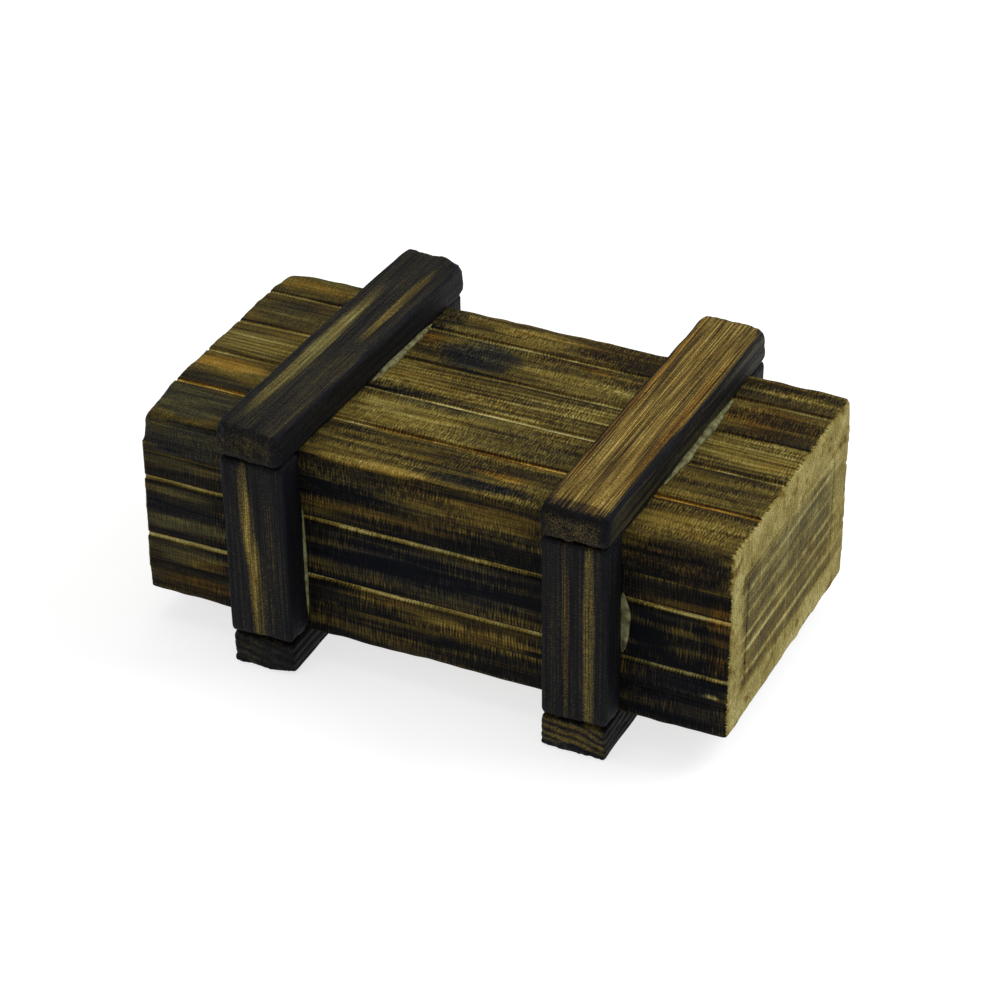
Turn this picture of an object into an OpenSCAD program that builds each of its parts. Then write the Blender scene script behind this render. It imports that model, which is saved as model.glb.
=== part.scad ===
// Crate-style wooden puzzle box. Grooved boards make the body, eight battens make two bands
// round it, and a drawer hides behind the right-hand end face. The right-hand bottom batten
// is the key: slid towards the front, it draws its lock plate clear of the drawer's catch.
// Frame: X along the box, drawer end at +X. -Y is the front. Z = 0 is the table.

/* [Body] */
// Length of the box along X
body_l = 120; // [96:1:160]
// Depth of the body along Y, without the battens
body_w = 61; // [50:1:90]
// Height of the body along Z, without the battens
body_h = 39.6; // [32:0.1:60]
// Thickness of the top, front and back boards and of both end faces
board_t = 8; // [6:0.1:10]
// Thickness of the bottom board
floor_t = 7; // [5:0.1:9]

/* [Plank grooves] */
// Width of each saw groove
groove_w = 1; // [0.6:0.1:1.6]
// Depth of each saw groove
groove_d = 1; // [0.5:0.1:2]
// Distance from the front edge of the top to its first groove
top_groove_y = 13.7; // [8:0.1:18]
// Distance between the grooves of the top
top_groove_pitch = 12.7; // [9:0.1:18]
// Height of the lowest groove of the front and back above the body's underside
side_groove_z = 12.4; // [9:0.1:18]
// Distance between the grooves of the front and back
side_groove_pitch = 12.9; // [9:0.1:18]

/* [Battens] */
// Width of the upright and bottom battens
batten_w = 13.1; // [10:0.1:16]
// Thickness of the upright and bottom battens
batten_t = 7; // [5:0.1:9]
// Width of the top battens
top_batten_w = 13.4; // [10:0.1:16]
// Thickness of the top battens
top_batten_t = 6.7; // [5:0.1:9]
// Radius on the long edges of each batten
batten_r = 1.2; // [0.4:0.1:2.4]
// Distance from the end of the box to the near edge of its band of battens
band_inset = 21.05; // [12:0.05:26]
// Distance that the top battens reach past the upright battens
top_overhang = 1.2; // [0:0.1:3]
// Skew of the left top batten, in degrees
left_skew = 2; // [0:0.1:3]
// Skew of the right top batten, in degrees
right_skew = 0.7; // [0:0.1:3]
// Lean of the left front batten, in degrees
left_lean = 1.5; // [0:0.1:3]
// Lean of the right front batten, in degrees
right_lean = 0.5; // [0:0.1:3]
// How far the top battens were glued on towards the drawer end
top_offset = 0.4; // [0:0.1:2]
// How far the back battens were glued on towards the drawer end
back_offset = 0.9; // [0:0.1:2]
// How far the left bottom batten was glued on towards the drawer end
foot_offset = 0.5; // [0:0.1:2]

/* [Drawer] */
// Thickness of the drawer's sides
side_t = 3; // [2:0.1:4]
// Thickness of the drawer's back
back_t = 4; // [2.5:0.1:6]
// Distance that the sides run on past the back, to meet the fixed end panel
back_inset = 5; // [2:0.1:10]
// Thickness of the drawer's floor
tray_floor_t = 2.5; // [1.5:0.1:4]
// Height of the lock space under the drawer's floor
lock_space_h = 4.5; // [3.5:0.1:6]
// Depth of the grooves in the sides that hold the floor
floor_housing = 1.2; // [0.5:0.1:1.6]
// Distance from the top of the drawer's front down to the top of its sides
side_drop = 0.8; // [0:0.1:4]

/* [Key batten and lock] */
// Width of the tenon along X
tenon_w = 6; // [4:0.1:7.5]
// Length of the tenon along Y
tenon_l = 8; // [6:0.1:10]
// Depth of the tenon's mortise in the key batten
tenon_depth = 3; // [2:0.1:4]
// Width of the lock plate along X
plate_w = 10; // [9:0.1:14]
// Height left free above the lock plate
plate_headroom = 1; // [0.5:0.1:1.5]
// Distance between the lock plate and the drawer's side at either end of its travel
plate_margin = 1.2; // [0.6:0.1:1.6]
// Depth by which the lock plate stands in the way of the catch
engagement = 1; // [0.6:0.1:1.4]
// Length of the catch strip
catch_l = 24; // [12:0.1:30]

/* [Clearances] */
// Gap beside and above the drawer
drawer_gap = 0.3; // [0.1:0.05:0.6]
// Gap under the drawer, over the key batten and under the lock plate
slide_gap = 0.15; // [0.05:0.05:0.3]
// Gap between the tenon and its slot
tenon_gap = 0.25; // [0.1:0.05:0.5]
// Gap at the drawer's two stops
stop_gap = 0.2; // [0.1:0.05:0.5]
// Gap between the catch and the lock plate as they pass, over what the coupling needs
catch_gap = 0.25; // [0.1:0.05:0.5]
// Gap above and below each upright batten
upright_gap = 0.4; // [0.2:0.05:0.8]

/* [Hidden] */
$fn = 48;
eps = 0.01;

// Levels of the case
body_z = batten_t;
cavity_z = body_z + floor_t;
top_z = body_z + body_h;
cavity_top = top_z - board_t;
cavity_h = cavity_top - cavity_z;
cavity_w = body_w - 2 * board_t;

// Battens
band_x = body_l / 2 - band_inset - batten_w / 2;
wrap_l = body_w + 2 * batten_t;
top_batten_l = wrap_l + 2 * top_overhang;
upright_room = body_h - 2 * upright_gap;

// Drawer
drawer_w = cavity_w - 2 * drawer_gap;
drawer_z = cavity_z + slide_gap;
drawer_h = cavity_h - slide_gap - drawer_gap;
tray_x1 = body_l / 2 - board_t;
tray_x0 = -tray_x1 + stop_gap;
back_x = tray_x0 + back_inset;
side_h = drawer_h - side_drop;
inner_w = drawer_w - 2 * side_t;
tray_floor_z = drawer_z + lock_space_h;

// Key and lock. The key travels by key_travel while the drawer travels by drawer_travel.
plate_l = tenon_l;
plate_t = lock_space_h - plate_headroom;
key_travel = inner_w - 2 * plate_margin - plate_l;
key_y = key_travel / 2;
drawer_travel = band_x - plate_w / 2 - stop_gap - (back_x + back_t);
catch_t = plate_margin + engagement;
catch_x1 = band_x - plate_w / 2 - catch_gap - engagement * drawer_travel / key_travel;

top_grooves = [for (y = top_groove_y; y < body_w - 2 * groove_w; y = y + top_groove_pitch) y];
side_grooves = [
    for (z = side_groove_z; z < body_h - board_t - 2 * groove_w; z = z + side_groove_pitch) z
];

dark_wood = [0.16, 0.12, 0.08];
streaked_wood = [0.34, 0.25, 0.14];
brown_wood = [0.42, 0.32, 0.19];
pale_wood = [0.74, 0.63, 0.42];
plain_pine = [0.80, 0.68, 0.46];

// A box centred on X and Y, standing on the plane z
module block(size, at = [0, 0, 0]) {
    translate([at[0] - size[0] / 2, at[1] - size[1] / 2, at[2]])
        cube(size);
}

// A bar along Z, centred on all axes, with its four long edges rounded
module bar(length, width = batten_w, thickness = batten_t) {
    flat_w = width - 2 * batten_r;
    flat_t = thickness - 2 * batten_r;
    linear_extrude(height = length, center = true)
        union() {
            square([width, flat_t], center = true);
            square([flat_w, thickness], center = true);
            for (x = [-1, 1], y = [-1, 1])
                translate([x * flat_w / 2, y * flat_t / 2])
                    circle(r = batten_r);
        }
}

// A top batten, lying along Y and turned a little about its centre
module top_batten(x, skew) {
    translate([x + top_offset, 0, top_z + top_batten_t / 2])
        rotate([90, 0, -skew])
            bar(top_batten_l, top_batten_w, top_batten_t);
}

// A bottom batten, lying along Y on the table
module bottom_batten(x, thickness) {
    translate([x, 0, thickness / 2])
        rotate([90, 0, 0])
            bar(wrap_l, batten_w, thickness);
}

// A batten standing against the front (side = -1) or the back (side = 1)
module upright_batten(x, side, lean = 0) {
    length = upright_room - batten_w * sin(lean);
    translate([x, side * (body_w + batten_t) / 2, body_z + body_h / 2])
        rotate([0, -lean, 0])
            bar(length);
}

// The saw grooves of the front (side = -1) or back (side = 1) board
module side_saw_grooves(side) {
    for (z = side_grooves)
        block([body_l + 2 * eps, 2 * groove_d, groove_w],
              [0, side * body_w / 2, body_z + z - groove_w / 2]);
}

// The front (side = -1) or back (side = 1) board, between the top and bottom boards
module side_board(side) {
    difference() {
        block([body_l, board_t, cavity_h], [0, side * (body_w - board_t) / 2, cavity_z]);
        side_saw_grooves(side);
    }
}

module top_board() {
    color(brown_wood)
        difference() {
            block([body_l, body_w, board_t], [0, 0, cavity_top]);
            for (y = top_grooves)
                block([body_l + 2 * eps, groove_w, groove_d + eps],
                      [0, y - body_w / 2, top_z - groove_d]);
        }
}

module bottom_board() {
    slot_w = tenon_w + 2 * tenon_gap;
    slot_l = tenon_l + key_travel + 2 * tenon_gap;
    color(streaked_wood)
        difference() {
            block([body_l, body_w, floor_t], [0, 0, body_z]);
            block([slot_w, slot_l, floor_t + 2 * eps], [band_x, 0, body_z - eps]);
        }
}

module front_board() {
    color(dark_wood)
        side_board(-1);
}

module back_board() {
    color(dark_wood)
        side_board(1);
}

module left_end_panel() {
    color(streaked_wood)
        block([board_t, cavity_w, cavity_h], [(board_t - body_l) / 2, 0, cavity_z]);
}

module left_top_batten() {
    color(dark_wood)
        top_batten(-band_x, left_skew);
}

module right_top_batten() {
    color(brown_wood)
        top_batten(band_x, right_skew);
}

module left_front_batten() {
    color(streaked_wood)
        upright_batten(-band_x, -1, left_lean);
}

module right_front_batten() {
    color(streaked_wood)
        upright_batten(band_x, -1, right_lean);
}

module left_back_batten() {
    color(streaked_wood)
        upright_batten(-band_x + back_offset, 1);
}

module right_back_batten() {
    color(streaked_wood)
        upright_batten(band_x + back_offset, 1);
}

module left_bottom_batten() {
    color(dark_wood)
        bottom_batten(-band_x + foot_offset, batten_t);
}

module drawer_front() {
    color(pale_wood)
        block([board_t, drawer_w, drawer_h], [(body_l - board_t) / 2, 0, drawer_z]);
}

// One side of the drawer, grooved on its inner face for the floor
module drawer_side(side) {
    length = tray_x1 - tray_x0;
    inner_y = inner_w / 2;
    difference() {
        block([length, side_t, side_h],
              [(tray_x1 + tray_x0) / 2, side * (inner_y + side_t / 2), drawer_z]);
        floor_plate();
    }
}

// The drawer's floor, from the inside of its front to the inside of its back
module floor_plate() {
    x0 = back_x + back_t;
    block([tray_x1 - x0, inner_w + 2 * floor_housing, tray_floor_t],
          [(tray_x1 + x0) / 2, 0, tray_floor_z]);
}

module drawer_front_side() {
    color(plain_pine)
        drawer_side(-1);
}

module drawer_back_side() {
    color(plain_pine)
        drawer_side(1);
}

module drawer_back() {
    color(plain_pine)
        block([back_t, inner_w, side_h], [back_x + back_t / 2, 0, drawer_z]);
}

module drawer_floor() {
    color(plain_pine)
        floor_plate();
}

module drawer_catch() {
    height = lock_space_h - slide_gap;
    color(pale_wood)
        block([catch_l, catch_t, height],
              [catch_x1 - catch_l / 2, (inner_w - catch_t) / 2, tray_floor_z - height]);
}

// The tenon: glued into the key batten, it runs up through the slot in the bottom board
module tenon() {
    z0 = body_z - slide_gap - tenon_depth;
    z1 = cavity_z + slide_gap;
    block([tenon_w, tenon_l, z1 - z0], [band_x, key_y, z0]);
}

module key_batten() {
    color(dark_wood)
        difference() {
            bottom_batten(band_x, batten_t - slide_gap);
            tenon();
        }
}

module key_tenon() {
    color(pale_wood)
        tenon();
}

module lock_plate() {
    color(pale_wood)
        block([plate_w, plate_l, plate_t], [band_x, key_y, cavity_z + slide_gap]);
}

top_board();
bottom_board();
front_board();
back_board();
left_end_panel();
left_top_batten();
right_top_batten();
left_front_batten();
right_front_batten();
left_back_batten();
right_back_batten();
left_bottom_batten();
drawer_front();
drawer_front_side();
drawer_back_side();
drawer_back();
drawer_floor();
drawer_catch();
key_batten();
key_tenon();
lock_plate();
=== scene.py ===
import math
import bmesh
import bpy
import numpy as np
from mathutils import Euler, Matrix, Vector


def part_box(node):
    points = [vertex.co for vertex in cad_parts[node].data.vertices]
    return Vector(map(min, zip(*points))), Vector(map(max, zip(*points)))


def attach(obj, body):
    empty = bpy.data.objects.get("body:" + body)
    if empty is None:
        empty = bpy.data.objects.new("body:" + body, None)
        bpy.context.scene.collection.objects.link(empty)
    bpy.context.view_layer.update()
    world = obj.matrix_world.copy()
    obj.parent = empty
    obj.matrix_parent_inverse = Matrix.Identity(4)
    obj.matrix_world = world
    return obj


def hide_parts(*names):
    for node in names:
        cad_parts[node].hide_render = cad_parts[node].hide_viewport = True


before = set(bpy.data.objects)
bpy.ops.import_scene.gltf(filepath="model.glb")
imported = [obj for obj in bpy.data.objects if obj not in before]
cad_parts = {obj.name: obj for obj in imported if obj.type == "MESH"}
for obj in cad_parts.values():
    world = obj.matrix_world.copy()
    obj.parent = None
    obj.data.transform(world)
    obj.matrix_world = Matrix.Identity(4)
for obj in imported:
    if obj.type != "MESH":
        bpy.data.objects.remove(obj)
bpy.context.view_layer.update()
MM = 0.001
ALONG_X, ALONG_Y, ALONG_Z = 0, 1, 2
# The faces of a piece, as the axis they look along and the side they look to.
TOP, BOTTOM, FRONT, BACK, RIGHT, LEFT = (2, 1), (2, -1), (1, -1), (1, 1), (0, 1), (0, -1)


def box_mm(node):
    """The lowest and highest corners of a CAD node, in millimetres."""
    low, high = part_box(node)
    return np.array(low) / MM, np.array(high) / MM


# Millimetres and degrees, as the frame was built.
CASE_LOW, CASE_HIGH = box_mm("top_board")
CASE_END = CASE_HIGH[0]
TOP_GROOVES = (-16.8, -4.1, 8.6, 21.3)
SIDE_GROOVES = (19.4, 32.3)
GROOVE_W = 1.0
GROOVE_D = 1.0
LEFT_SKEW = -2.0
RIGHT_SKEW = -0.7
LEFT_LEAN = -1.5
RIGHT_LEAN = -0.5
UPRIGHT_W = 13.1
TOP_BATTEN_SIZE = (13.4, 77.4, 6.7)
TENON_GAP = 0.25
SLOT_TOP = 30
# Brush ticks and bands are weaker left of the first stretch, hairs and streaks right of the second.
LEFT_FADE = (-47, -40)
RIGHT_FADE = (38, 42)
# The light seam under the top board, seen on the front and back beyond the battens.
SEAM_Z = 38.3
SEAM_FROM = (40, 44)


# ---------------------------------------------------------------- shaping timber

def even_lines(low, high, step):
    """Grid lines from low to high, about a step apart."""
    return np.linspace(low, high, max(2, round((high - low) / step) + 1))


def grooved_lines(low, high, step, grooves):
    """Grid lines across a board, with five at each groove: two lips and three on its bed."""
    lip, bed = 0.58 * GROOVE_W, 0.4 * GROOVE_W
    lines, start = [], low
    for g in grooves:
        lines.append(even_lines(start, g - lip, step))
        lines.append(np.array([g - bed, g, g + bed]))
        start = g + lip
    lines.append(even_lines(start, high, step))
    return np.concatenate(lines)


# An edge is divided into at most this many cells in one pass.
MOST_CUTS = 90


def cut_edges_along(axis, cells):
    """Divides every edge that runs along the axis into that many cells, in two passes if need be."""
    passes = [cells] if cells <= MOST_CUTS else [2, cells // 2]
    for count in passes:
        if count < 2:
            continue
        mesh = bmesh.from_edit_mesh(bpy.context.object.data)
        for edge in mesh.edges:
            run = edge.verts[1].co - edge.verts[0].co
            edge.select = abs(run[axis]) > 0.5 * run.length
        bpy.ops.mesh.subdivide(number_cuts=count - 1)


def gridded_block(name, lines):
    """A box cut into a grid, with its vertices on the given lines along X, Y and Z."""
    lines = [at if len(at) <= MOST_CUTS + 1 or len(at) % 2 else np.insert(at, 1, (at[0] + at[1]) / 2)
             for at in lines]
    low = np.array([at[0] for at in lines])
    high = np.array([at[-1] for at in lines])
    bpy.ops.object.select_all(action="DESELECT")
    bpy.ops.mesh.primitive_cube_add(size=1, location=Vector((low + high) / 2 * MM),
                                    scale=Vector((high - low) * MM))
    piece = bpy.context.object
    piece.name = name
    bpy.ops.object.transform_apply(location=True, rotation=True, scale=True)
    bpy.ops.object.mode_set(mode="EDIT")
    bpy.ops.mesh.select_mode(type="EDGE")
    for axis, at in enumerate(lines):
        cut_edges_along(axis, len(at) - 1)
    bpy.ops.object.mode_set(mode="OBJECT")
    points = read_points(piece)
    for axis, at in enumerate(lines):
        share = (points[:, axis] - low[axis]) / (high[axis] - low[axis])
        points[:, axis] = at[np.rint(share * (len(at) - 1)).astype(int)]
    write_points(piece, points)
    return piece


def read_points(piece):
    """A piece's vertices, in millimetres."""
    flat = np.empty(3 * len(piece.data.vertices))
    piece.data.vertices.foreach_get("co", flat)
    return flat.reshape(-1, 3) / MM


def write_points(piece, points):
    piece.data.vertices.foreach_set("co", (points * MM).ravel())
    piece.data.update()


def save_value(piece, name, values):
    """Keeps one number for each vertex, for the finishes to read."""
    layer = piece.data.attributes.new(name, "FLOAT", "POINT")
    layer.data.foreach_set("value", np.asarray(values, np.float32))


def ripple(points, waves, seed):
    """Smooth seeded unevenness from -1 to 1, with wavelengths of about `waves` on each axis."""
    count = 28
    rng = np.random.default_rng(seed)
    total = np.zeros(len(points))
    for _ in range(count):
        turn = rng.normal(size=3) / np.array(waves)
        total += np.sin(points @ turn * 2 * math.pi * 0.7 + rng.uniform(0, 2 * math.pi))
    return np.clip(total / math.sqrt(count) / 1.4, -1, 1)


def smooth_step(x, low, high):
    t = np.clip((x - low) / (high - low), 0, 1)
    return t * t * (3 - 2 * t)


def round_off(points, low, high, radius):
    """Rounds a box's edges and corners. Also tells each vertex's facing and nearness to an edge."""
    radius = np.asarray(radius).reshape(-1, 1) * np.ones((1, 3))
    inner = np.clip(points, low + radius, high - radius)
    away = points - inner
    length = np.linalg.norm(away, axis=1, keepdims=True)
    facing = away / np.maximum(length, 1e-6)
    rounded = inner + facing * radius
    ordered = np.sort(np.abs(away), axis=1)
    near_edge = np.clip(ordered[:, 1] / radius[:, 0], 0, 1)
    return rounded, facing, near_edge


def grain_waves(grain, long, across):
    """Wavelengths for ripple, long along the grain and short across it."""
    return [long if axis == grain else across for axis in range(3)]


def growth_rings(points, grain, heart, pitch, seed):
    """The phase of the growth rings round a heart line that runs along the grain."""
    across = [axis for axis in range(3) if axis != grain]
    out = points[:, across] - np.array(heart)
    wander = 0.35 * ripple(points, grain_waves(grain, 45, 14), seed)
    return np.linalg.norm(out, axis=1) / pitch + wander


def brushed_relief(points, facing, grain, ridge, seed, rings=None):
    """Height of the brushed surface: long waves, fine grain and, if given, hard growth rings."""
    swell = ripple(points, grain_waves(grain, 38, 7), seed)
    fine = ripple(points, grain_waves(grain, 16, 1.7), seed + 1)
    height = 0.45 * swell + 0.55 * fine
    if rings is not None:
        hard = 1 - np.abs(((rings % 1) - 0.62) / 0.62).clip(0, 1) ** 1.5
        side = 1 - 0.75 * np.abs(facing[:, grain])
        height = 0.35 * height + 1.5 * (hard - 1) * side
    return ridge * height


def finish_timber(piece, body, nodes, finish, centre=None, turn=None):
    """Turns a piece about its centre if it sits askew, smooths it and gives it its body and finish."""
    if turn is not None:
        pivot = Vector(centre) * MM
        swing = Euler([math.radians(a) for a in turn]).to_matrix().to_4x4()
        piece.data.transform(Matrix.Translation(pivot) @ swing @ Matrix.Translation(-pivot))
    for polygon in piece.data.polygons:
        polygon.use_smooth = True
    piece.data.materials.clear()
    piece.data.materials.append(finish)
    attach(piece, body)
    if nodes:
        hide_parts(*nodes)


def meeting(facing, faces):
    """How squarely each vertex looks out of one of the given (axis, side) faces, from 0 to 1."""
    share = np.zeros(len(facing))
    for axis, side in faces:
        share = np.maximum(share, np.clip(1.6 * side * facing[:, axis], 0, 1))
    return share


def colour_marks(points, facing, grain, marks, seed, ragged):
    """How much darker and how much warmer each vertex is. marks gives, for each (axis, side) face, the
    centre, the half sizes, the darkness and the warmth of the patches on it."""
    tone, hue = np.zeros(len(points)), np.zeros(len(points))
    wobble = ragged * ripple(points, grain_waves(grain, 4 / ragged, 2.2), seed)
    for face, rows in marks.items():
        a, b = [axis for axis in range(3) if axis != face[0]]
        seen = meeting(facing, [face])
        for u, v, half_u, half_v, dark, warm in rows:
            reach = ((points[:, a] - u) / half_u) ** 2 + ((points[:, b] - v) / half_v) ** 2
            share = seen * (1 - smooth_step(reach + wobble, 0.4, 1.5))
            tone += dark * share
            hue += warm * share
    return tone, hue


def save_looks(piece, points, facing, grain, marks, seed, near_edge, groove, bare, ragged=0.45):
    """Keeps, for the finishes, what differs from place to place on a piece."""
    tone, hue = colour_marks(points, facing, grain, marks, seed, ragged)
    unburnt = np.zeros(len(points))
    for axis, side in bare:
        unburnt[side * facing[:, axis] > 0.95] = 1
    save_value(piece, "tone", tone)
    save_value(piece, "hue", hue)
    save_value(piece, "edge", near_edge)
    save_value(piece, "groove", groove)
    save_value(piece, "bare", unburnt)


def knocked_off(points, knocks):
    """How much rounder the wood is worn near some corners, each with its reach and radius."""
    more = np.zeros(len(points))
    for corner, reach, radius in knocks:
        away = np.linalg.norm((points - np.array(corner)) / np.array(reach), axis=1)
        more += radius * (1 - smooth_step(away, 0.3, 1.2))
    return more


def board(name, node, body, slot, finish, step, grooves=(), grooved=None, radius=0.5, ridge=0.08,
          grain=ALONG_X, seed=1, grow=(0, 0, 0), joined=(), bare=(), marks=None, slotted=None,
          knocks=()):
    """A board on its CAD node's place. grooved is its (axis across the grooves, axis of depth, side).
    joined faces meet other pieces and stay flat and sharp, and bare faces were never scorched.
    knocks are the corners worn rounder."""
    low, high = box_mm(node)
    low, high = low - np.array(grow), high + np.array(grow)
    lines = [even_lines(low[a], high[a], step[a]) for a in range(3)]
    if grooved:
        across, depth, side = grooved
        lines[across] = grooved_lines(low[across], high[across], step[across], grooves)
    piece = gridded_block(name, lines)
    points = read_points(piece)
    worn = radius * (1 + 0.6 * ripple(points, (7, 7, 7), seed + 5)).clip(0.3, 3)
    worn = worn + knocked_off(points, knocks)
    for axis, side_of in joined:
        face = high[axis] if side_of > 0 else low[axis]
        worn = np.where(np.abs(points[:, axis] - face) < 2, 0.1, worn)
    shaped, facing, near_edge = round_off(points, low, high, worn)
    # groove is 1 on each groove's bed, for painted light, and -1 on its far lip, for painted shade; the
    # finish reads it.
    groove = np.zeros(len(points))
    if grooved:
        face = high[depth] if side > 0 else low[depth]
        reach = 1 - np.clip(np.abs(points[:, depth] - face) / 2, 0, 1)
        wander = 0.5 + 0.2 * ripple(points, (14, 14, 14), seed + 9)
        for g in grooves:
            off = points[:, across] - g
            bed = np.abs(off) < 0.5 * GROOVE_W
            groove[bed] = 1
            groove[(off > 0.5 * GROOVE_W) & (off < 0.7 * GROOVE_W)] = -1
            shaped[:, depth] -= side * bed * reach * GROOVE_D * wander
        groove *= reach > 0.7
    height = brushed_relief(points, facing, grain, ridge, seed) * (1 - meeting(facing, joined))
    shaped += facing * height[:, None]
    write_points(piece, shaped)
    save_looks(piece, points, facing, grain, marks or {}, seed + 20, near_edge, groove, bare)
    if slotted:
        cut_slot(piece, *slotted)
    finish_timber(piece, body, [node], finish)


def end_board(name, node, body, finish, **details):
    """A board that closes an end of the box, flush with the boards round it."""
    board(name, node, body, "striped_end", finish, step=(0.9, 0.6, 0.4), radius=0.1, ridge=0.04,
          grain=ALONG_Y, joined=(TOP, BOTTOM, FRONT, BACK), **details)


def cut_slot(piece, low, high):
    """Cuts a straight slot through a board."""
    bpy.ops.object.select_all(action="DESELECT")
    centre, size = (low + high) / 2 * MM, (high - low) * MM
    bpy.ops.mesh.primitive_cube_add(size=1, location=Vector(centre), scale=Vector(size))
    cutter = bpy.context.object
    carve = piece.modifiers.new("slot", "BOOLEAN")
    carve.operation = "DIFFERENCE"
    carve.object = cutter
    bpy.context.view_layer.objects.active = piece
    bpy.ops.object.modifier_apply(modifier=carve.name)
    bpy.data.objects.remove(cutter)


def hacked_ends(points, low, high, grain, seed, depth):
    """Pushes the ends of a batten in and out in rough facets."""
    span = (points[:, grain] - low[grain]) / (high[grain] - low[grain])
    for end, sign in ((0, 1), (1, -1)):
        near = np.clip(1 - np.abs(span - end) * 16, 0, 1)
        rough = ripple(points, grain_waves(grain, 99, 5), seed + end)
        fine = ripple(points, grain_waves(grain, 99, 1.2), seed + end + 7)
        points[:, grain] += sign * near * depth * (0.55 + 0.75 * rough + 0.4 * fine)


def batten(name, node, body, finish, size, centre, grain, step=0.42, radius=0.7, end_radius=1.2,
           ridge=0.12, seed=1, turn=None, heart=None, pitch=1.4, hack=0.3, marks=None, joined=(),
           knocks=()):
    """One batten, straight and then turned about its centre. size and centre are in millimetres."""
    size, centre = np.array(size), np.array(centre)
    low, high = centre - size / 2, centre + size / 2
    steps = [0.9 if a == grain else step for a in range(3)]
    piece = gridded_block(name, [even_lines(low[a], high[a], steps[a]) for a in range(3)])
    points = read_points(piece)
    from_end = np.minimum(points[:, grain] - low[grain], high[grain] - points[:, grain])
    near_end = 1 - np.clip(from_end / 5, 0, 1)
    worn = radius * (1 + 0.4 * ripple(points, grain_waves(grain, 14, 5), seed + 5))
    worn = worn + (end_radius - radius) * near_end ** 2 + knocked_off(points - centre, knocks)
    worn = np.clip(worn, 0.3, size.min() / 2.2)
    shaped, facing, near_edge = round_off(points, low, high, worn)
    rings = growth_rings(points, grain, heart, pitch, seed + 3) if heart is not None else None
    height = brushed_relief(points, facing, grain, ridge, seed, rings) * (1 - meeting(facing, joined))
    shaped += facing * height[:, None]
    hacked_ends(shaped, low, high, grain, seed + 40, hack)
    shaped[:, 2] = np.maximum(shaped[:, 2], 0)
    write_points(piece, shaped)
    save_looks(piece, points - centre, facing, grain, marks or {}, seed + 20, near_edge,
               np.zeros(len(points)), (), ragged=0.18)
    save_value(piece, "rings", np.zeros(len(points)) if rings is None else rings)
    finish_timber(piece, body, [node], finish, centre, turn)


def glue_bead(name, finish, low, high, hold, grain, seed, centre, turn):
    """Squeezed-out glue in a corner. hold is the line it clings to, on the two axes across its run."""
    low, high = np.array(low), np.array(high)
    steps = [0.5 if a == grain else 0.25 for a in range(3)]
    piece = gridded_block(name, [even_lines(low[a], high[a], steps[a]) for a in range(3)])
    points = read_points(piece)
    across = [a for a in range(3) if a != grain]
    radius = 0.49 * min(high[a] - low[a] for a in across)
    shaped, _, _ = round_off(points, low, high, radius)
    span = (points[:, grain] - low[grain]) / (high[grain] - low[grain])
    along = np.zeros((len(points), 3))
    along[:, grain] = points[:, grain]
    swell = 0.85 + 0.2 * ripple(along, (8, 8, 8), seed)
    swell = swell.clip(0.2, 1.2) * np.sin(math.pi * span.clip(0.01, 0.99)) ** 0.6
    for a, line in zip(across, hold):
        shaped[:, a] = line + (shaped[:, a] - line) * swell
    write_points(piece, shaped)
    finish_timber(piece, "case", [], finish, centre, turn)


# ---------------------------------------------------------------- finishes

class Wire:
    """A socket that takes part in sums."""

    def __init__(self, paint, socket):
        self.paint = paint
        self.socket = socket

    def __add__(self, other):
        return self.paint.sum("ADD", self, other)

    def __sub__(self, other):
        return self.paint.sum("SUBTRACT", self, other)

    def __mul__(self, other):
        return self.paint.sum("MULTIPLY", self, other)

    def __truediv__(self, other):
        return self.paint.sum("DIVIDE", self, other)

    def __rsub__(self, other):
        return self.paint.sum("SUBTRACT", other, self)

    __radd__ = __add__
    __rmul__ = __mul__


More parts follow.
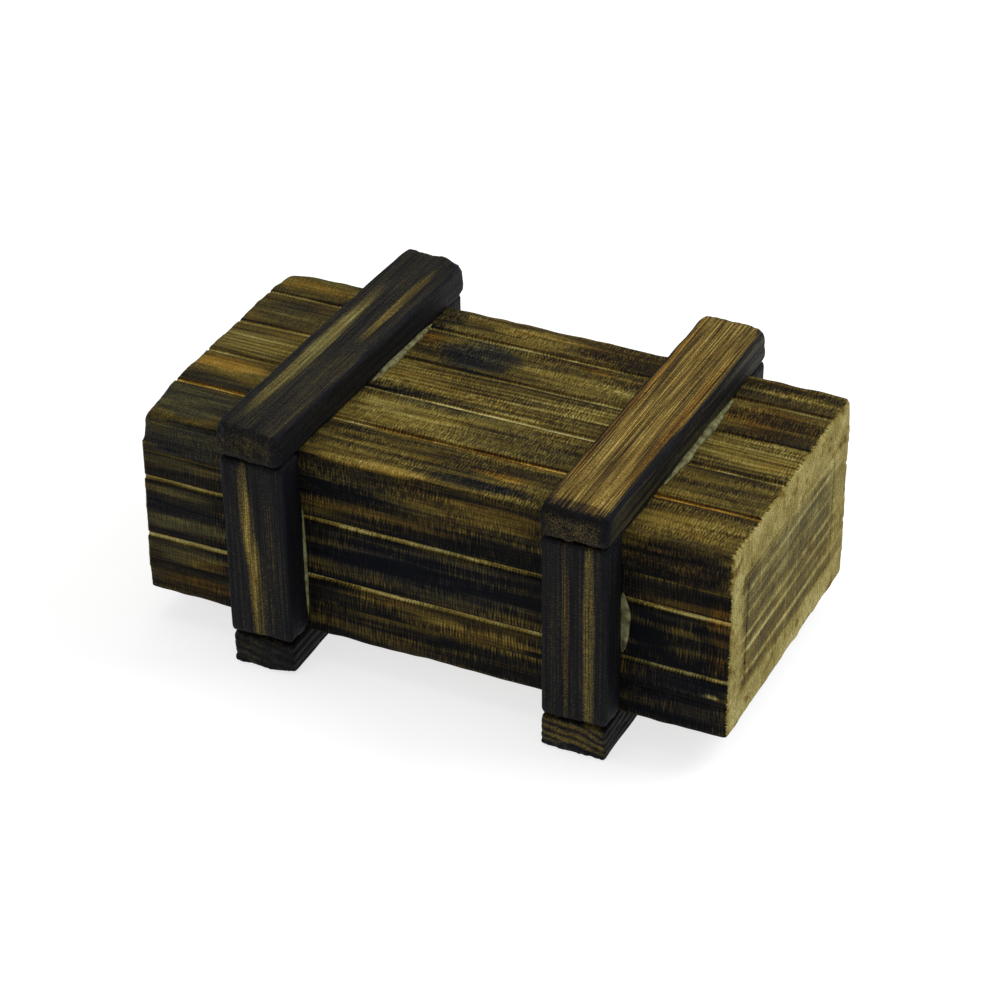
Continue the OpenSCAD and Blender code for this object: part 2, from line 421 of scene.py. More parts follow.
class Paint:
    """One finish: a material whose nodes are made by calls."""

    def __init__(self, name):
        self.material = bpy.data.materials.new(name)
        self.material.use_nodes = True
        self.tree = self.material.node_tree
        self.shader = self.tree.nodes["Principled BSDF"]

    def node(self, kind, inputs, settings=(), output=0):
        """Any node: its settings first, then the values or links of its sockets."""
        made = self.tree.nodes.new("ShaderNode" + kind)
        for key, value in dict(settings).items():
            if key == "stops":
                self.set_stops(made.color_ramp, value)
            else:
                setattr(made, key, value)
        for key, value in inputs.items():
            self.feed(made.inputs[key], value)
        return Wire(self, made.outputs[output])

    def feed(self, socket, value):
        if isinstance(value, Wire):
            self.tree.links.new(value.socket, socket)
        else:
            socket.default_value = value

    @staticmethod
    def set_stops(ramp, stops):
        while len(ramp.elements) > 1:
            ramp.elements.remove(ramp.elements[0])
        ramp.elements[0].position = stops[0][0]
        for place, _ in stops[1:]:
            ramp.elements.new(place)
        for element, (_, colour) in zip(ramp.elements, stops):
            element.color = (*colour, 1)

    def sum(self, operation, a, b):
        return self.node("Math", {0: a, 1: b}, {"operation": operation})

    def highest(self, a, b):
        return self.sum("MAXIMUM", a, b)

    def lowest(self, a, b):
        return self.sum("MINIMUM", a, b)

    def size_of(self, a):
        return self.sum("ABSOLUTE", a, 0)

    def wave(self, a):
        """A sine of one turn for each whole number."""
        return self.sum("SINE", a * (2 * math.pi), 0)

    def step(self, value, low, high):
        """0 below low, 1 above high, smooth between."""
        return self.node("MapRange", {"Value": value, "From Min": low, "From Max": high},
                         {"interpolation_type": "SMOOTHSTEP"})

    def point(self, x, y, z):
        return self.node("CombineXYZ", {"X": x, "Y": y, "Z": z})

    def noise(self, place, detail=2.0):
        return self.node("TexNoise", {"Vector": place, "Scale": 1.0, "Detail": detail,
                                      "Roughness": 0.55})

    def spread(self, noise, half=0.13):
        """Noise stretched to -1 to 1."""
        return self.node("MapRange", {"Value": noise, "From Min": 0.5 - half, "From Max": 0.5 + half,
                                      "To Min": -1.0, "To Max": 1.0})

    def vertex_value(self, name):
        return self.node("Attribute", {}, {"attribute_name": name}, output="Fac")

    def blend(self, share, under, over, kind="MIX"):
        """One colour laid over another, or multiplied into it."""
        return self.node("Mix", {"Factor": share, 6: under, 7: over},
                         {"data_type": "RGBA", "blend_type": kind}, output=2)

    def place(self, centre=(0, 0, 0), turn=(0, 0, 0), grain=ALONG_X):
        """Millimetres along the grain, across it and through, from a centre in millimetres."""
        coords = self.node("TexCoord", {}, output="Object")
        moved = self.node("Mapping", {"Vector": coords, "Location": [-c * MM for c in centre]})
        turned = self.node("Mapping", {"Vector": moved, "Rotation": [-math.radians(t) for t in turn],
                                       "Scale": (1 / MM,) * 3})
        xyz = [self.node("SeparateXYZ", {"Vector": turned}, output=o) for o in range(3)]
        order = {ALONG_X: (0, 1, 2), ALONG_Y: (1, 0, 2), ALONG_Z: (2, 0, 1)}[grain]
        return [xyz[i] for i in order]


def srgb(r, g, b):
    """A colour given as 0 to 255, as linear light."""
    return tuple(((c / 255 + 0.055) / 1.055) ** 2.4 if c > 10 else c / 255 / 12.92 for c in (r, g, b))


# From bare brushed pine to hard char, by how far the torch has gone.
SCORCH = (
    (0.00, srgb(190, 180, 122)),
    (0.14, srgb(160, 148, 86)),
    (0.28, srgb(130, 115, 56)),
    (0.42, srgb(103, 89, 38)),
    (0.56, srgb(77, 65, 27)),
    (0.70, srgb(52, 43, 20)),
    (0.84, srgb(27, 24, 17)),
    (1.00, srgb(4, 5, 8)),
)
PINE = ((0.0, srgb(226, 204, 156)), (0.3, srgb(204, 174, 118)), (0.7, srgb(160, 124, 74)))
WARM = (1.30, 0.88, 0.45, 1)
COOL = (0.84, 1.08, 2.0, 1)
SAW_PITCH = 0.62
# Light lines along an end panel, with their height, half width and strength, and scratches across it,
# with their place and strength.
END_LINES = ((34.7, 0.55, 0.22), (29.7, 0.50, 0.18), (25.1, 0.60, 0.24), (21.8, 0.60, 0.28),
             (16.6, 0.60, 0.25), (13.2, 0.60, 0.24))
END_SCRATCHES = ((-16, 0.05), (-1.8, 0.10), (3.6, 0.10), (10, 0.04), (13.5, 0.04), (18.5, 0.05),
                 (24, 0.10))


class Scorched(Paint):
    """Torched and brushed pine. It is built up as one number, how burnt the wood is."""

    def __init__(self, name, grain, centre=(0, 0, 0), turn=(0, 0, 0), seed=0.0, planks=None):
        super().__init__(name)
        self.u, self.v, self.w = self.place(centre, turn, grain)
        self.shift = seed
        if planks:
            axis, cuts = planks
            across = {"v": self.v, "w": self.w}[axis]
            self.plank = 0.0
            for cut in cuts:
                self.plank = self.sum("GREATER_THAN", across, cut) + self.plank
            self.shift = self.plank * 37.3 + seed
        self.burnt = self.vertex_value("tone")
        self.hue = self.vertex_value("hue")
        self.bare = self.vertex_value("bare")

    def field(self, along, across, detail=2.0, offset=0.0):
        """Noise with features of about that length along and across the grain, in millimetres."""
        place = self.point(self.u / along + self.shift, self.v / across + offset, self.w / across)
        return self.noise(place, detail)

    def scorch(self, tone, blotch=0.06, bands=0.10, streaks=0.06, hair=0.05, ticks=0.19, specks=0.10,
               tick_length=1.1, hair_size=(10, 0.2), hue=0.15):
        """Adds the base tone and every scale of unevenness, from blotches down to specks."""
        self.hair = self.spread(self.field(*hair_size, offset=2))
        drift = self.field(14, tick_length * 2, 1.0, offset=61) * 3
        saw = self.wave((self.u + self.v * 0.1) / SAW_PITCH + drift)
        torn = self.spread(self.field(0.4, tick_length * 1.4, 0.0, offset=7))
        self.tick = saw * 0.5 + torn * 0.6
        self.speck = self.spread(self.field(0.24, 0.24, 1.0, offset=17))
        blot = self.spread(self.field(22, 6, offset=11))
        band = self.spread(self.field(48, 2.4, 1.0, offset=5), 0.08)
        streak = self.spread(self.field(11, 0.55, 2.0, offset=8))
        rough = self.spread(self.field(9, 3.0, offset=53)) * 0.4 + 0.6
        calm = self.step(self.u, *LEFT_FADE) * 0.6 + 0.4
        fine = 1 - self.step(self.u, *RIGHT_FADE) * 0.6
        self.burnt = self.burnt + tone + blot * blotch + band * (calm * bands) + self.speck * specks
        self.burnt = self.burnt + (self.hair * hair + streak * streaks) * fine
        self.burnt = self.burnt + self.tick * (rough * calm * ticks)
        warm = self.spread(self.field(12, 2.0, 3.0, offset=31))
        self.hue = self.hue + warm * hue + self.tick * 0.05

    def paint_groove_light_and_shade(self, light, dark):
        """Painted light on each groove's bed, and painted shade, tinted browner, on its far lip."""
        groove = self.vertex_value("groove")
        # worn varies how strong the painted light on the bed is.
        worn = self.spread(self.field(9, 3, offset=41)) * 0.2 + 0.95
        # edge is -1 on the far lip, where painted shade darkens and warms the burn.
        edge = self.lowest(groove, 0)
        self.burnt = self.burnt - self.highest(groove, 0) * (worn * light) - edge * dark
        self.hue = self.hue - edge * 0.6

    def end_grain(self, y, z, side):
        """The burn of a sanded end: pale and furry, with a greyer striped panel in the middle."""
        mesh = self.spread(self.noise(self.point(z * 0.5, y * 2.2, side), 2))
        fleck = self.spread(self.noise(self.point(z * 3.2, y * 3.2, side), 1))
        blot = self.spread(self.noise(self.point(z * 0.16, y * 0.12, side), 3))
        self.stain = self.step(self.noise(self.point(z * 0.22, y * 0.22 + 5, side), 3), 0.56, 0.70)
        pale = 0.235 + mesh * 0.08 + fleck * 0.10 + blot * 0.08 + self.stain * 0.28
        sway = (self.noise(self.point(z * 0.02, y * 0.03, side)) - 0.5) * 1.2
        lines = 0
        for at, half, strength in END_LINES:
            away = self.size_of(z - at + sway)
            lines = (1 - self.step(away, half * 0.2, half + 0.3)) * strength + lines
        for at, strength in END_SCRATCHES:
            lines = lines + (1 - self.step(self.size_of(y - at * side), 0.1, 0.5)) * strength
        grain = self.spread(self.noise(self.point(z * 1.1, y * 0.04, side + 3), 3))
        panel = self.step(y * side, -26.0, -22.6) * (1 - self.step(y * side, 15, 30) * 0.9)
        panel = panel * self.step(z, 12.6, 13.4) * (1 - self.step(z + y * (0.05 * side), 36.2, 38.6))
        self.grey = panel * self.step(z, 20, 32)
        return pale + panel * (0.27 + grain * 0.08 - lines - self.stain * 0.16)

    def end_face(self, side, reach):
        """Fades the burn to end grain near an end of the box."""
        axis = self.u if side > 0 else 0 - self.u
        fur = self.noise(self.point(self.u * 0.4, self.v * 2.4, self.w * 2.4), 3)
        share = self.step(axis + (fur - 0.5) * (3 * reach), CASE_END - reach, CASE_END - 0.3 * reach)
        pale = self.end_grain(self.v, self.w, side)
        self.burnt = self.burnt * (1 - share) + pale * share
        self.hue = self.hue * (1 - share) + (self.stain * 0.5 - self.grey * 0.25 - 0.10) * share

    def colour(self):
        """The burn as a colour, with bare pine where the wood was never scorched."""
        tint = self.node("ValToRGB", {"Fac": self.burnt}, {"stops": SCORCH})
        warm = self.highest(self.lowest(self.hue, 1), 0)
        cool = self.highest(self.lowest(0 - self.hue, 1), 0)
        tint = self.blend(warm, tint, WARM, "MULTIPLY")
        tint = self.blend(cool, tint, COOL, "MULTIPLY")
        shade = 0.2 + self.hair * 0.12 + self.speck * 0.05
        pine = self.node("ValToRGB", {"Fac": shade}, {"stops": PINE})
        return self.blend(self.bare, tint, pine)

    def finish(self, gloss=0.0, shine=0.06):
        """Connects the burn and the brushed grain to the shader."""
        self.feed(self.shader.inputs["Base Color"], self.colour())
        self.feed(self.shader.inputs["Roughness"], 0.72 - gloss + self.hair * 0.08)
        height = self.hair * 0.35 + self.tick * 0.45 + self.speck * 0.2
        normal = self.node("Bump", {"Strength": 0.5, "Distance": 0.12 * MM, "Height": height})
        self.feed(self.shader.inputs["Normal"], normal)
        self.shader.inputs["Specular IOR Level"].default_value = shine
        return self.material


# ---------------------------------------------------------------- finishes of the pieces

def level(paint, index, values):
    """The value for each plank, counted from 0."""
    total = values[0]
    for count, (before, value) in enumerate(zip(values, values[1:])):
        total = paint.sum("GREATER_THAN", index, count + 0.5) * (value - before) + total
    return total


def top_board_finish():
    """The five planks of the top, each a little lighter or darker."""
    wood = Scorched("top_board_scorched", ALONG_X, seed=1.7, planks=("v", TOP_GROOVES))
    wood.scorch(level(wood, wood.plank, (0.62, 0.60, 0.52, 0.62, 0.60)))
    ring = wood.wave(wood.v / 1.3 + wood.field(50, 9, offset=13) * 3)
    ringed_plank = 1 - wood.step(wood.size_of(wood.v - 2.2), 5.4, 6.2)
    wood.burnt = wood.burnt + ring * ringed_plank * 0.09
    # Painted light on the groove beds and painted shade on their far lips.
    wood.paint_groove_light_and_shade(0.42, 0.16)
    wood.end_face(1, 0.7)
    wood.end_face(-1, 0.3)
    return wood.finish()


def outer_board_finish(name, seed, tone):
    """The darker boards of the front, the back and the underside."""
    wood = Scorched(name, ALONG_X, seed=seed, planks=("w", SIDE_GROOVES))
    wood.scorch(tone, bands=0.12, streaks=0.05, hair=0.03, ticks=0.22, specks=0.08, tick_length=2.2)
    # Painted light on the groove beds and painted shade on their far lips.
    wood.paint_groove_light_and_shade(0.62, 0.12)
    seam = 1 - wood.step(wood.size_of(wood.w - SEAM_Z), 0.1, 0.4)
    wood.burnt = wood.burnt - seam * wood.step(wood.size_of(wood.u), *SEAM_FROM) * 0.22
    wood.end_face(1, 0.4)
    wood.end_face(-1, 0.3)
    return wood.finish()


def striped_end_finish(name, seed, side):
    """The end panels: grey-brown, with light lines and a fine mesh of scratches."""
    wood = Scorched(name, ALONG_Y, seed=seed)
    wood.scorch(0.0)
    wood.burnt = wood.end_grain(wood.u, wood.w, side) + wood.hair * 0.03 + wood.speck * 0.07
    wood.hue = wood.stain * 0.5 - wood.grey * 0.25 - 0.12
    return wood.finish()


def batten_finish(name, grain, centre, turn, tone, seed, hair=0.13):
    """The darkest timber, with fine hairs along it and worn edges."""
    wood = Scorched(name, grain, centre=centre, turn=turn, seed=seed)
    wood.scorch(tone, blotch=0.03, bands=0.03, streaks=0.05, hair=hair, ticks=0.07, specks=0.13,
                hair_size=(30, 0.2), hue=0.06)
    wood.burnt = wood.burnt + wood.vertex_value("edge") * 0.12
    return wood.finish(gloss=0.05, shine=0.12)


def ridged_finish(name, centre, tone, contrast, seed):
    """The battens of the underside, with the growth rings standing out."""
    wood = Scorched(name, ALONG_Y, centre=centre, seed=seed)
    wood.scorch(tone, blotch=0.08, bands=0.04, hair=0.08, ticks=0.0, specks=0.12, hue=0.06)
    ring = wood.sum("FRACT", wood.vertex_value("rings"), 0)
    late = wood.step(ring, 0.35, 0.75) * (1 - wood.step(ring, 0.85, 1.0))
    wood.burnt = wood.burnt + late * contrast - contrast * 0.35
    return wood.finish(gloss=0.05, shine=0.12)


def plain_pine_finish(name, grain, seed):
    """Unburnt pine, for what is hidden while the box is shut."""
    wood = Scorched(name, grain, seed=seed)
    wood.scorch(0.0)
    ring = wood.spread(wood.field(60, 1.8, 3.0, offset=3))
    shade = 0.22 + ring * 0.14 + wood.hair * 0.08 + wood.speck * 0.03
    wood.feed(wood.shader.inputs["Base Color"], wood.node("ValToRGB", {"Fac": shade}, {"stops": PINE}))
    wood.feed(wood.shader.inputs["Roughness"], 0.7 + wood.hair * 0.05)
    normal = wood.node("Bump", {"Strength": 0.3, "Distance": 0.1 * MM, "Height": wood.hair})
    wood.feed(wood.shader.inputs["Normal"], normal)
    wood.shader.inputs["Specular IOR Level"].default_value = 0.2
    return wood.material


GLUE = ((0.35, srgb(128, 130, 92)), (0.5, srgb(106, 104, 66)), (0.68, srgb(58, 54, 34)))


def glue_finish():
    """Dried glue: dull olive, in lighter and darker spots."""
    glue = Paint("dried_glue")
    coords = glue.place()
    spot = glue.noise(glue.point(coords[0] * 0.7, coords[1] * 0.7, coords[2] * 0.7), 3)
    glue.feed(glue.shader.inputs["Base Color"], glue.node("ValToRGB", {"Fac": spot}, {"stops": GLUE}))
    glue.feed(glue.shader.inputs["Roughness"], 0.45 + spot * 0.3)
    glue.shader.inputs["Specular IOR Level"].default_value = 0.2
    return glue.material


# ---------------------------------------------------------------- scorch marks, face by face

# Each row is a patch: its centre and its half sizes along the face's two axes, how much darker it is,
# and how much warmer. Boards count from the middle of the box and battens from their own.
TOP_BOARD_MARKS = {
    TOP: (
        (-23, 26, 4, 4, 0.20, -0.2),
        (-2, 26.5, 11, 2.2, -0.22, 0.1),
        (14, 26, 9, 3.5, 0.08, 0.2),
        (-52, 26, 9, 2.0, -0.05, 0.4),
        (51, 26.4, 9, 1.2, -0.12, 0.0),
        (50, 29, 9, 1.6, 0.15, 0.4),
        (-10, 15, 8, 5, 0.20, -0.9),
        (-22, 18, 2.5, 2.0, 0.0, 0.8),
        (12, 19.5, 4, 1.2, 0.0, 0.8),
        (10, 13, 14, 3, -0.10, 0.0),
        (-52, 15, 10, 5, 0.06, -0.3),
        (50, 15, 10, 5, 0.05, 0.5),
        (-15, -2.9, 14, 1.0, 0.22, -0.3),
        (-12, 2.5, 14, 5, 0.10, 0.1),
        (-53, 1, 9, 4, -0.08, -0.1),
        (52, 2, 9, 4, -0.06, 0.1),
        (-14, -9.6, 11, 2.6, -0.14, 0.0),
        (-20, -9.0, 4, 2.8, -0.10, 0.0),
        (-8, -5.6, 12, 1.2, 0.15, -0.5),
        (10, -12, 14, 3.5, 0.08, -0.2),
        (-52, -8, 9, 2.2, -0.16, 0.6),
        (-52, -16.8, 9, 0.9, -0.1, 0.8),
        (40, -16.8, 70, 0.8, 0.12, 0.9),
        (-52, -14.4, 10, 1.6, 0.20, -0.3),
        (50, -6, 9, 1.6, 0.15, 0.0),
        (-14, -20.3, 11, 0.9, -0.18, 0.0),
        (-8, -23, 14, 0.9, -0.14, 0.1),
        (12, -23, 7, 1.0, -0.12, 0.8),
        (8, -27.4, 11, 1.5, 0.24, -0.5),
        (-12, -29.6, 13, 1.3, -0.28, 0.2),
        (-52, -23, 10, 6, 0.02, -0.9),
        (-57, -29, 4, 1.6, -0.15, 0.4),
        (50, -24, 10, 4, -0.08, 0.2),
    ),
    FRONT: (
        (0, 42, 70, 9, 0.18, 0.0),
        (-52, 42, 10, 5, 0.0, -0.9),
        (-16, 42, 9, 5, 0.10, -0.2),
        (8, 43.6, 16, 1.2, -0.20, 0.3),
        (12, 40.8, 14, 1.2, -0.20, 0.1),
        (50, 42, 10, 5, 0.16, 0.3),
        (-14, 46.4, 9, 0.6, -0.2, 0.3),
    ),
    BACK: (
        (0, 42, 70, 9, 0.18, 0.0),
        (-10, 43, 18, 1.5, -0.16, 0.2),
        (40, 41, 12, 2, -0.12, 0.0),
    ),
}
FRONT_BOARD_MARKS = {
    FRONT: (
        (50, 26, 9, 5, 0.14, 0.0),
        (-52, 26, 9, 5, -0.06, -0.4),
        (-52, 12, 9, 4, -0.04, -0.3),
        (-52, 36.6, 10, 1.2, -0.16, -0.5),
        (-52, 30.2, 10, 1.0, -0.16, -0.4),
        (-52, 26.6, 10, 1.4, 0.08, -0.2),
        (-52, 23.2, 10, 1.3, -0.14, -0.5),
        (-52, 17, 10, 1.8, -0.18, -0.4),
        (-47, 14.8, 5, 1.6, -0.18, 0.4),
        (-10, 35.5, 14, 2, -0.10, 0.3),
        (0, 26, 24, 5, 0.05, -0.5),
        (8, 15.2, 15, 1.8, -0.32, 0.1),
        (-8, 17.6, 12, 0.8, -0.15, 0.2),
        (50, 35, 10, 2.5, -0.05, 0.3),
        (51, 26, 4.0, 4.5, -0.24, -0.1),
        (43, 26, 3.0, 6, 0.10, -0.3),
        (50, 17.5, 10, 3.5, 0.14, -0.4),
        (57.5, 28, 2, 9, -0.10, 0.7),
        (56.8, 15.6, 1.6, 0.6, -0.55, -0.3),
    ),
}
BACK_BOARD_MARKS = {
    BACK: (
        (-12, 35.5, 16, 1.6, -0.16, 0.2),
        (14, 24, 13, 2.4, -0.22, 0.1),
        (-8, 28, 12, 1.5, -0.10, -0.4),
        (0, 16.4, 20, 1.4, -0.20, 0.2),
        (-52, 30, 9, 1.5, -0.14, -0.4),
        (-51, 16, 9, 2.0, -0.12, 0.4),
        (51, 24, 9, 3.0, -0.14, 0.3),
        (50, 35, 9, 1.6, 0.08, -0.4),
    ),
}
BOTTOM_BOARD_MARKS = {
    FRONT: (
        (6, 13.6, 24, 1.0, -0.20, 0.0),
        (50, 10, 10, 5, 0.12, -0.2),
        (-50, 9, 10, 3, -0.06, 0.5),
    ),
    BOTTOM: (
        (-10, 8, 24, 5, -0.14, 0.2),
        (12, -14, 18, 4, -0.12, 0.0),
        (-50, -10, 9, 8, -0.10, 0.3),
    ),
}
# The side faces of the battens: darker, with a painted bluish sheen through the cool hue.
DARK_SIDES_PAINTED_SHEEN = {
    LEFT: ((0, 0, 99, 99, 0.10, -0.5),),
    RIGHT: ((0, 0, 99, 99, 0.10, -0.6),),
}
BATTEN_MARKS = {
    "left_top": {
        TOP: (
            (-3.2, -7, 1.6, 27, -0.42, 0.1),
            (3.0, 16, 1.1, 17, -0.26, 0.5),
            (0, 0, 9, 60, 0.0, -0.5),
        ),
        **DARK_SIDES_PAINTED_SHEEN,
    },
    "right_top": {
        TOP: (
            (6.4, -20, 1.2, 20, 0.35, -0.4),
            (0, -37, 8, 2.4, 0.32, 0.1),
            (-5.8, 5, 0.9, 34, 0.08, 0.6),
            (4.8, -4, 0.8, 26, 0.0, 0.6),
            (-2.2, 4, 0.7, 34, -0.08, 0.0),
            (1.6, -12, 0.5, 24, -0.10, 0.0),
            (0, 0, 9, 60, 0.03, 0.35),
        ),
        FRONT: ((0, 0, 9, 9, 0.34, 0.0),),
        BACK: ((0, 0, 9, 9, 0.28, 0.0),),
        # The side faces: darker, with a painted bluish sheen through the cool hue.
        LEFT: ((0, 0, 99, 99, 0.34, -0.2),),
        RIGHT: ((0, 0, 99, 99, 0.40, -0.7),),
    },
    "left_foot": {},
    "key_foot": {
        FRONT: ((-1, -3.2, 8, 1.6, 0.34, -0.8),),
        RIGHT: ((0, 0, 60, 9, 0.22, -0.5),),
    },
    "left_front": {
        FRONT: (
            (-1.9, 10, 1.0, 13, -0.40, 0.3),
            (-1.1, -1, 1.2, 14, -0.26, 0.2),
            (-0.2, -11, 1.7, 13, -0.32, 0.3),
            (3.0, 0, 0.8, 16, -0.10, 0.4),
            (0, 0, 9, 60, 0.0, -0.4),
        ),
        **DARK_SIDES_PAINTED_SHEEN,
    },
    "right_front": {
        FRONT: (
            (2.9, -2, 1.2, 24, -0.42, 0.2),
            (-1.7, 0, 0.7, 22, -0.30, 0.5),
            (-4.4, 0, 0.4, 20, -0.14, 0.6),
            (5.6, 1.1, 1.0, 0.35, 0.5, 0.0),
            (0, 0, 9, 60, 0.0, -0.3),
        ),
        **DARK_SIDES_PAINTED_SHEEN,
    },
    "left_back": {
        BACK: ((2.2, 3, 1.2, 20, -0.4, 0.1), (-2.6, -4, 0.6, 16, -0.2, 0.3)),
        **DARK_SIDES_PAINTED_SHEEN,
    },
    "right_back": {
        BACK: ((-2.6, -3, 1.0, 22, -0.4, 0.1), (2.0, 6, 1.5, 12, -0.2, 0.0)),
        **DARK_SIDES_PAINTED_SHEEN,
    },
}

# Corners worn rounder, with their reach and radius. The battens' are counted from their middles.
TOP_BOARD_KNOCKS = (
    ((CASE_LOW[0], CASE_LOW[1], CASE_HIGH[2]), (8, 11, 8), 1.9),
    ((CASE_LOW[0], CASE_HIGH[1], CASE_HIGH[2]), (6, 6, 6), 1.4),
    ((CASE_HIGH[0], CASE_HIGH[1], CASE_HIGH[2]), (4, 4, 4), 0.6),
)
BATTEN_KNOCKS = {
    "left": (((6.7, 38.7, 3.3), (5, 6, 8), 1.9), ((-6.7, -38.7, 3.3), (4, 4, 4), 0.8)),
    "right": (((6.7, 38.7, 3.3), (4, 5, 6), 0.9),),
}


# ---------------------------------------------------------------- the pieces

def make_case():
    board("top_planks", "top_board", "case", "scorched_board", top_board_finish(), step=(0.8, 0.5, 0.8),
          grooves=TOP_GROOVES, grooved=(1, 2, 1), seed=11, joined=(BOTTOM,), bare=(BOTTOM,),
          marks=TOP_BOARD_MARKS, knocks=TOP_BOARD_KNOCKS)
    for side, number, tone, seed, out, inner, marks in (
            ("front", 5.1, 0.86, 12, -1, BACK, FRONT_BOARD_MARKS),
            ("back", 9.4, 0.84, 13, 1, FRONT, BACK_BOARD_MARKS)):
        finish = outer_board_finish(side + "_board_scorched", number, tone)
        board(side + "_planks", side + "_board", "case", "scorched_board", finish, step=(0.8, 1.0, 0.5),
              grooves=SIDE_GROOVES, grooved=(2, 1, out), radius=0.4, seed=seed, joined=(TOP, BOTTOM),
              bare=(inner,), marks=marks)
    tenon_low, tenon_high = box_mm("key_tenon")
    slot_low = np.array([tenon_low[0] - TENON_GAP, -tenon_high[1] - TENON_GAP, 0])
    slot_high = np.array([tenon_high[0] + TENON_GAP, tenon_high[1] + TENON_GAP, SLOT_TOP])
    board("base_board", "bottom_board", "case", "scorched_board",
          outer_board_finish("bottom_board_scorched", 12.2, 0.82), step=(0.8, 0.6, 0.6), seed=14,
          joined=(TOP,), bare=(TOP,), marks=BOTTOM_BOARD_MARKS, slotted=(slot_low, slot_high))
    end_board("left_end", "left_end_panel", "case", striped_end_finish("left_end_striped", 7.0, -1),
              seed=15, bare=(RIGHT,))


def make_top_battens():
    for side, skew, tone, seed in (("left", LEFT_SKEW, 0.86, 31), ("right", RIGHT_SKEW, 0.46, 32)):
        node = side + "_top_batten"
        low, high = box_mm(node)
        centre = (low + high) / 2
        turn = (0, 0, skew)
        finish = batten_finish(side + "_top_batten_scorched", ALONG_Y, centre, turn, tone, seed,
                               hair=0.14 if side == "left" else 0.26)
        batten(side + "_top_strap", node, "case", finish, TOP_BATTEN_SIZE, centre,
               ALONG_Y, end_radius=1.8, seed=seed, turn=turn, hack=0.5,
               marks=BATTEN_MARKS[side + "_top"], knocks=BATTEN_KNOCKS[side])


def make_uprights():
    leans = {"left_front": LEFT_LEAN, "right_front": RIGHT_LEAN, "left_back": 0, "right_back": 0}
    for seed, (place, lean) in enumerate(leans.items(), start=41):
        node = place + "_batten"
        low, high = box_mm(node)
        centre = (low + high) / 2
        tall = high[2] - low[2] - UPRIGHT_W * abs(math.sin(math.radians(lean)))
        size = (UPRIGHT_W, high[1] - low[1], tall)
        turn = (0, lean, 0)
        finish = batten_finish(place + "_batten_scorched", ALONG_Z, centre, turn, 0.97, seed)
        batten(place + "_strap", node, "case", finish, size, centre, ALONG_Z,
               end_radius=0.8, ridge=0.08, seed=seed, turn=turn, hack=0.12, marks=BATTEN_MARKS[place])


def make_bottom_battens():
    for name, node, body, tone, contrast, heart, radius, seed in (
            ("left_foot", "left_bottom_batten", "case", 1.0, 0.2, (-42, -36), 1.3, 51),
            ("key_foot", "key_batten", "key", 0.66, 0.3, (25, -38), 0.7, 52)):
        low, high = box_mm(node)
        centre = (low + high) / 2
        finish = ridged_finish(name + "_ridged", centre, tone, contrast, seed)
        batten(name, node, body, finish, high - low, centre, ALONG_Y, step=0.3,
               radius=radius, end_radius=radius, ridge=0.3, seed=seed, heart=heart, pitch=1.7,
               marks=BATTEN_MARKS[name], joined=(TOP,))


def make_glue():
    finish = glue_finish()
    for side, skew, from_y, to_y, seed in (
            ("left", LEFT_SKEW, -2, 23, 71),
            ("right", RIGHT_SKEW, -13, 21, 72)):
        low, high = box_mm(side + "_top_batten")
        centre = (low + high) / 2
        edge = centre[0] + TOP_BATTEN_SIZE[0] / 2
        bead_low = (edge - 0.8, from_y, low[2] - 0.6)
        bead_high = (edge + 1.3, to_y, low[2] + 0.8)
        glue_bead(side + "_top_glue", finish, bead_low, bead_high, (edge, low[2]), ALONG_Y, seed,
                  centre, (0, 0, skew))
    for side, lean, out, from_z, to_z, seed in (
            ("left", LEFT_LEAN, 0.5, 10, 34, 73),
            ("right", RIGHT_LEAN, 1.9, 20.5, 33.5, 74)):
        low, high = box_mm(side + "_front_batten")
        centre = (low + high) / 2
        edge = centre[0] + UPRIGHT_W / 2
        bead_low = (edge - 0.8, high[1] - 0.7, from_z)
        bead_high = (edge + out, high[1] + 0.4, to_z)
        glue_bead(side + "_front_glue", finish, bead_low, bead_high, (edge, high[1]), ALONG_Z, seed,
                  centre, (0, lean, 0))


def make_drawer():
    face = striped_end_finish("drawer_face_striped", 2.0, 1)
    end_board("drawer_face", "drawer_front", "drawer", face, seed=61, grow=(0, 0.14, 0.08), bare=(LEFT,))
    pine = plain_pine_finish("bare_pine_along", ALONG_X, 3.0)
    cross = plain_pine_finish("bare_pine_across", ALONG_Y, 8.0)
    for seed, (name, node, body, finish, grain) in enumerate((
            ("drawer_near_side", "drawer_front_side", "drawer", pine, ALONG_X),
            ("drawer_far_side", "drawer_back_side", "drawer", pine, ALONG_X),
            ("drawer_base", "drawer_floor", "drawer", pine, ALONG_X),
            ("drawer_tail", "drawer_back", "drawer", cross, ALONG_Y),
            ("catch_strip", "drawer_catch", "drawer", pine, ALONG_X),
            ("key_pin", "key_tenon", "key", cross, ALONG_Y),
            ("lock_slab", "lock_plate", "key", cross, ALONG_Y)), start=81):
        board(name, node, body, "plain_pine", finish, step=(1.2, 1.2, 1.2), radius=0.3, ridge=0.03,
              grain=grain, seed=seed, joined=(TOP, BOTTOM))


# ---------------------------------------------------------------- studio

SKY_STRENGTH = 0.36
FLOOR_GREY = 0.42
FLOOR_GLOW = 0.72
# Each light's name, place in metres, size in metres, and power in watts.
LIGHTS = (
    ("key_light", (0.55, 0.35, 0.75), 0.5, 5.6),
    ("top_light", (-0.1, 0.1, 0.95), 0.7, 3.0),
    ("fill_light", (-0.5, -0.8, 0.45), 0.7, 1.2),
)
LIT_SPOT = Vector((0, 0, 0.02))
# The camera: degrees round the box, above the table and tilted, then metres to the point it circles.
CAMERA_TURN = 24.53
CAMERA_RISE = 32.5
CAMERA_ROLL = 0.12
CAMERA_DISTANCE = 0.6763
CAMERA_ASIDE = 0.0006
CAMERA_ABOVE = 0.0154
CAMERA_CIRCLES = Vector((0, 0, 0.007))


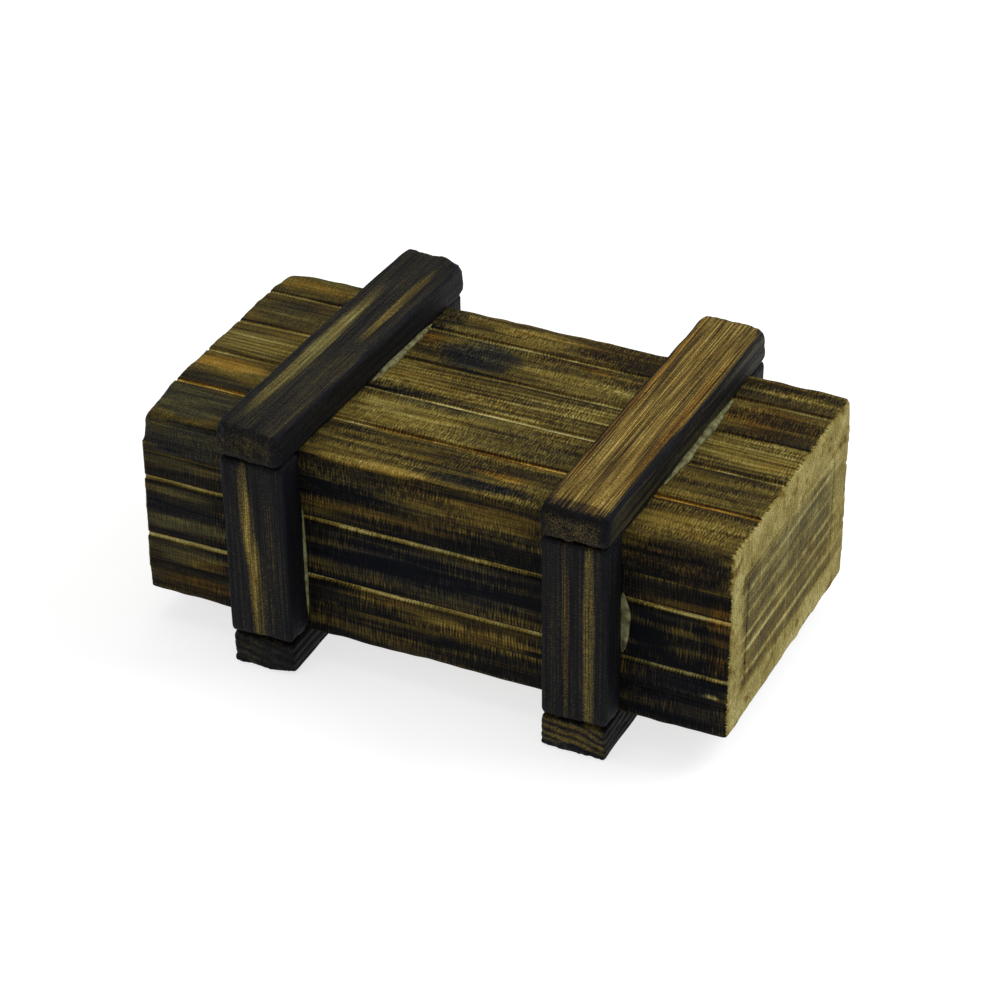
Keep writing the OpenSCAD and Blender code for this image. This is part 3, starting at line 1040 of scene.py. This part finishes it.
def make_studio():
    """White surroundings, a pale floor that glows a little, and three soft lights."""
    scene = bpy.context.scene
    world = bpy.data.worlds.new("studio")
    world.use_nodes = True
    world.node_tree.nodes["Background"].inputs["Color"].default_value = (1, 1, 1, 1)
    world.node_tree.nodes["Background"].inputs["Strength"].default_value = SKY_STRENGTH
    scene.world = world
    scene.view_settings.view_transform = "Standard"
    bpy.ops.mesh.primitive_plane_add(size=6, location=(0, 0, 0))
    floor = bpy.context.object
    floor.name = "floor"
    paper = Paint("pale_floor")
    paper.feed(paper.shader.inputs["Base Color"], (FLOOR_GREY, FLOOR_GREY, FLOOR_GREY, 1))
    paper.feed(paper.shader.inputs["Roughness"], 1.0)
    paper.feed(paper.shader.inputs["Specular IOR Level"], 0.0)
    paper.feed(paper.shader.inputs["Emission Color"], (1, 1, 1, 1))
    paper.feed(paper.shader.inputs["Emission Strength"], FLOOR_GLOW)
    floor.data.materials.append(paper.material)
    for name, place, size, power in LIGHTS:
        light = bpy.data.lights.new(name, "AREA")
        light.size = size
        light.energy = power
        lamp = bpy.data.objects.new(name, light)
        lamp.location = place
        lamp.rotation_euler = (LIT_SPOT - Vector(place)).to_track_quat("-Z", "Y").to_euler()
        scene.collection.objects.link(lamp)


def make_camera():
    """A long lens above the front right corner."""
    turn = math.radians(CAMERA_TURN)
    rise = math.radians(CAMERA_RISE)
    roll = math.radians(CAMERA_ROLL)
    back = Vector((math.sin(turn) * math.cos(rise), -math.cos(turn) * math.cos(rise), math.sin(rise)))
    right = (-back).cross(Vector((0, 0, 1))).normalized()
    up = right.cross(-back)
    tilted_right = right * math.cos(roll) + up * math.sin(roll)
    tilted_up = up * math.cos(roll) - right * math.sin(roll)
    place = back * CAMERA_DISTANCE + tilted_right * CAMERA_ASIDE + tilted_up * CAMERA_ABOVE
    place = place + CAMERA_CIRCLES
    data = bpy.data.cameras.new("camera")
    data.lens = 124.8
    data.sensor_width = 36
    camera = bpy.data.objects.new("camera", data)
    facing = Matrix((tilted_right, tilted_up, back)).transposed().to_4x4()
    camera.matrix_world = Matrix.Translation(place) @ facing
    bpy.context.scene.collection.objects.link(camera)
    bpy.context.scene.camera = camera


make_studio()
make_camera()
make_case()
make_top_battens()
make_uprights()
make_bottom_battens()
make_glue()
make_drawer()
